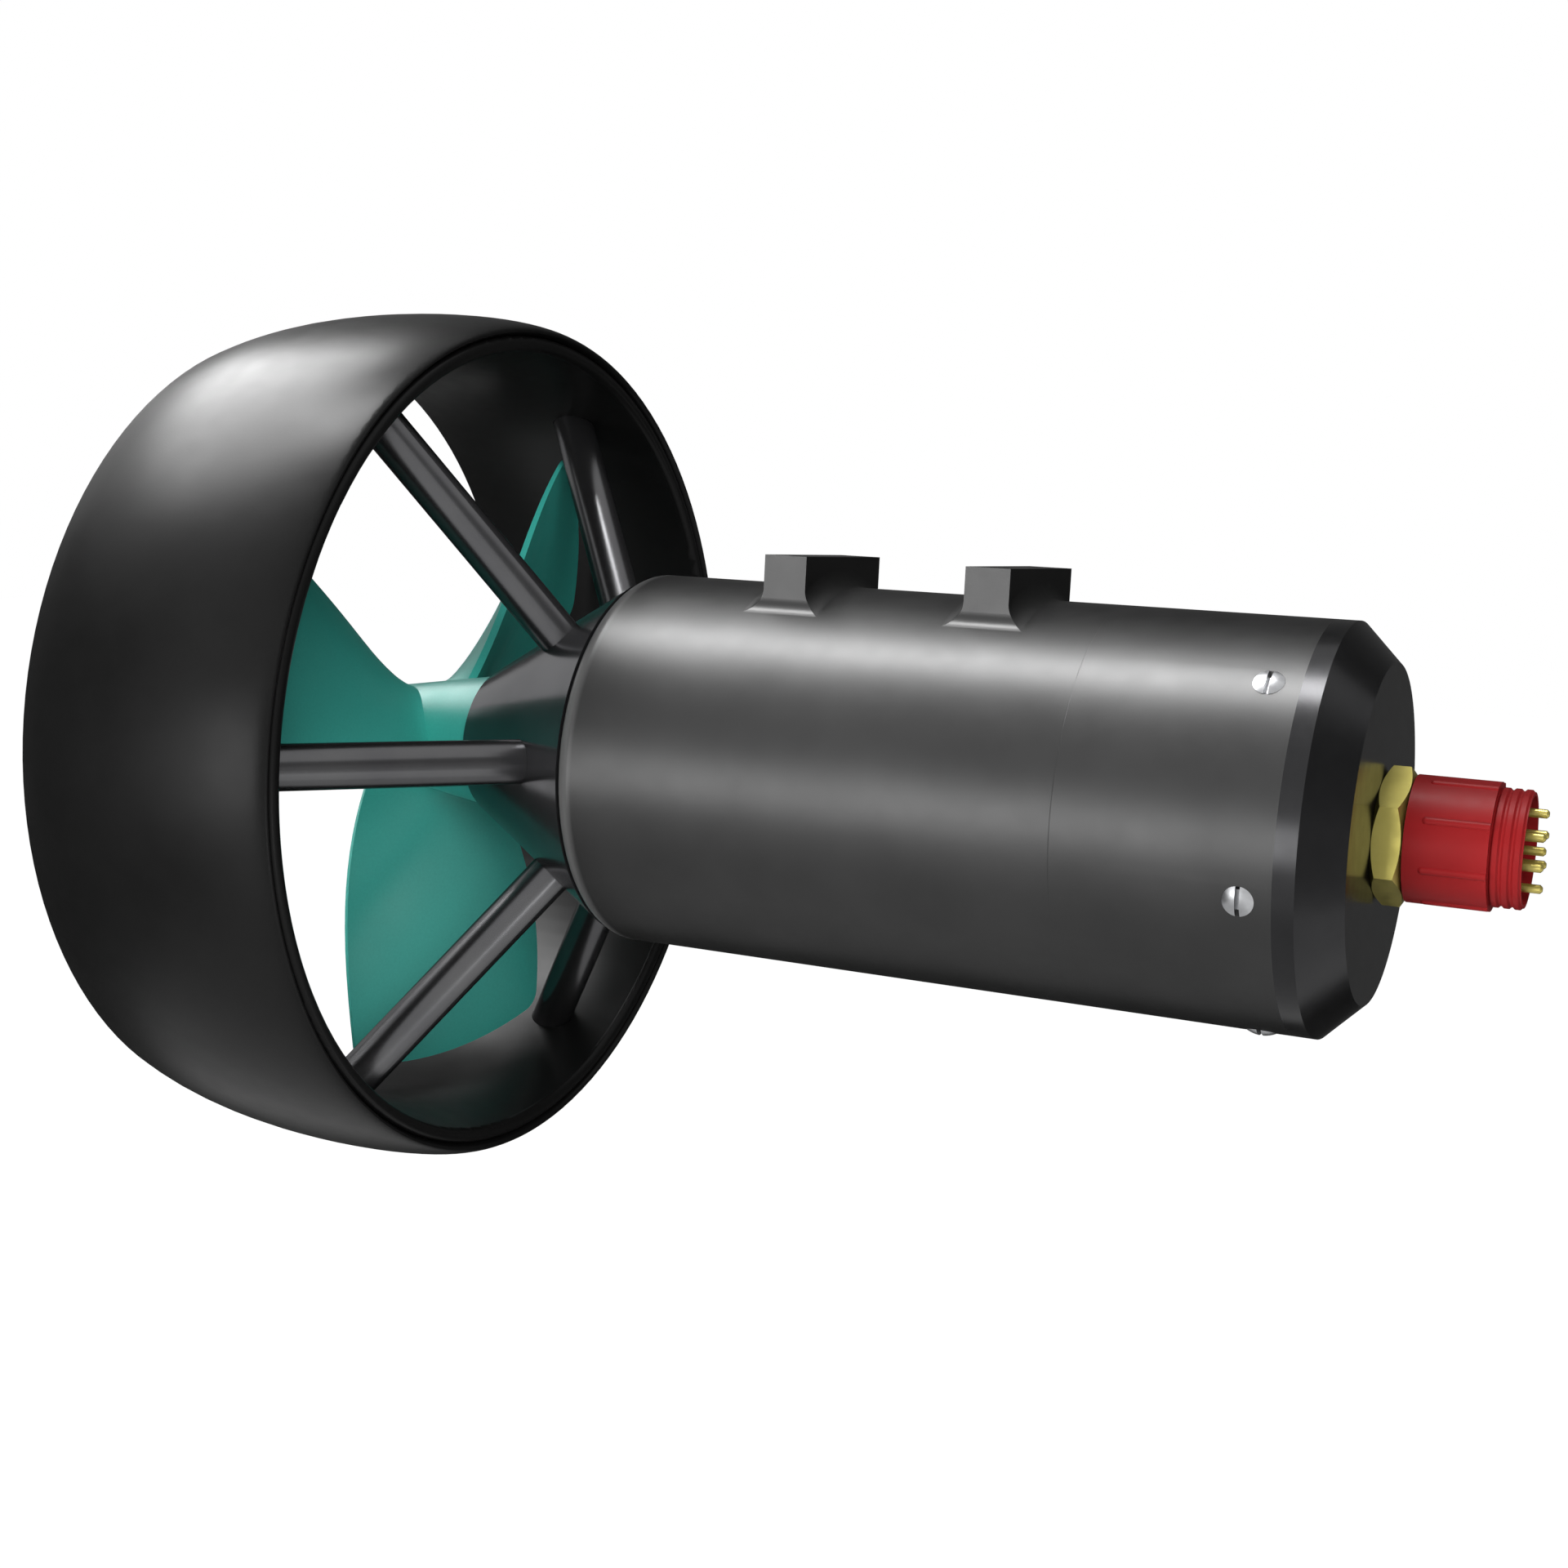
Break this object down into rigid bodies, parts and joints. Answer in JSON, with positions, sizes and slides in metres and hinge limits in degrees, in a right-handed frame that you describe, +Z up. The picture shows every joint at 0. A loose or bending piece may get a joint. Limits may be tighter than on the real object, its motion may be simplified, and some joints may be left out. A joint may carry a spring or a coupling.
{
  "type": "underwater thruster",
  "caption": "Ducted electric underwater thruster: cylindrical motor housing with mounting lugs, nose cone, struts, duct ring, bladed propeller and a pin connector with a turning locking sleeve",
  "frame": {"origin": "middle of the four threaded holes in the top faces of the two mounting lugs", "axes": "+X along the propeller axis towards the connector, +Z up out of the lug faces, +Y across; the propeller axis lies 43.85 mm below the origin"},
  "size_m": [0.2685, 0.1802, 0.1803],
  "materials": {
    "housing_metal": "hard anodised dark grey, satin",
    "cap_metal": "hard anodised near black, semi-gloss",
    "duct_black": "black, satin",
    "strut_black": "black coated rod, satin",
    "propeller_teal": "moulded, semi-gloss teal",
    "stainless": "stainless steel, bright",
    "bearing_steel": "ground bearing steel",
    "seal_rubber": "black nitrile rubber",
    "motor_iron": "stacked silicon steel laminations",
    "copper_winding": "enamelled copper wire",
    "magnet_nickel": "nickel plated magnets",
    "plate_metal": "turned aluminium",
    "brass": "turned brass",
    "insert_black": "dark moulded plastic",
    "sleeve_red": "moulded, red, semi-gloss",
    "board_green": "green circuit board",
    "lead_insulation": "insulated leads, black",
    "capacitor_black": "capacitor cans, black sleeve"
  },
  "bodies": {
    "casing": {"motor_housing": "housing_metal", "electronics_housing": "housing_metal", "nose_cone": "housing_metal", "end_cap": "cap_metal", "duct_ring": "duct_black", "strut_1": "strut_black", "strut_2": "strut_black", "strut_3": "strut_black", "strut_4": "strut_black", "strut_5": "strut_black", "strut_6": "strut_black", "cap_screws": "stainless", "cone_screws": "stainless", "board_screws": "stainless", "bearing_retaining_ring": "stainless", "plate_retaining_ring": "stainless", "sleeve_snap_ring": "stainless", "front_bearing_outer": "bearing_steel", "rear_bearing_outer": "bearing_steel", "shaft_seal": "seal_rubber", "cone_o_ring": "seal_rubber", "joint_o_ring": "seal_rubber", "cap_o_ring_front": "seal_rubber", "cap_o_ring_rear": "seal_rubber", "connector_o_ring": "seal_rubber", "stator_core": "motor_iron", "stator_windings": "copper_winding", "rear_bearing_plate": "plate_metal", "connector_body": "brass", "connector_lock_nut": "brass", "contact_pins": "brass", "board_standoffs": "brass", "contact_insert": "insert_black", "controller_board": "board_green", "motor_leads": "lead_insulation", "contact_leads": "lead_insulation", "capacitors": "capacitor_black"},
    "rotor": {"propeller": "propeller_teal", "drive_shaft": "stainless", "drive_pin": "stainless", "nut_washer": "stainless", "propeller_nut": "stainless", "rotor_core": "motor_iron", "rotor_magnets": "magnet_nickel", "front_bearing_inner": "bearing_steel", "rear_bearing_inner": "bearing_steel", "front_bearing_balls": "bearing_steel", "rear_bearing_balls": "bearing_steel"},
    "sleeve": {"locking_sleeve": "sleeve_red"}
  },
  "joints": [
    {"name": "propeller_spin", "type": "hinge", "parent": "casing", "child": "rotor", "pos_m": [-0.11, 0, -0.04385], "axis": [1, 0, 0], "continuous": true},
    {"name": "sleeve_turn", "type": "hinge", "parent": "casing", "child": "sleeve", "pos_m": [0.107, 0, -0.04385], "axis": [1, 0, 0], "continuous": true}
  ]
}
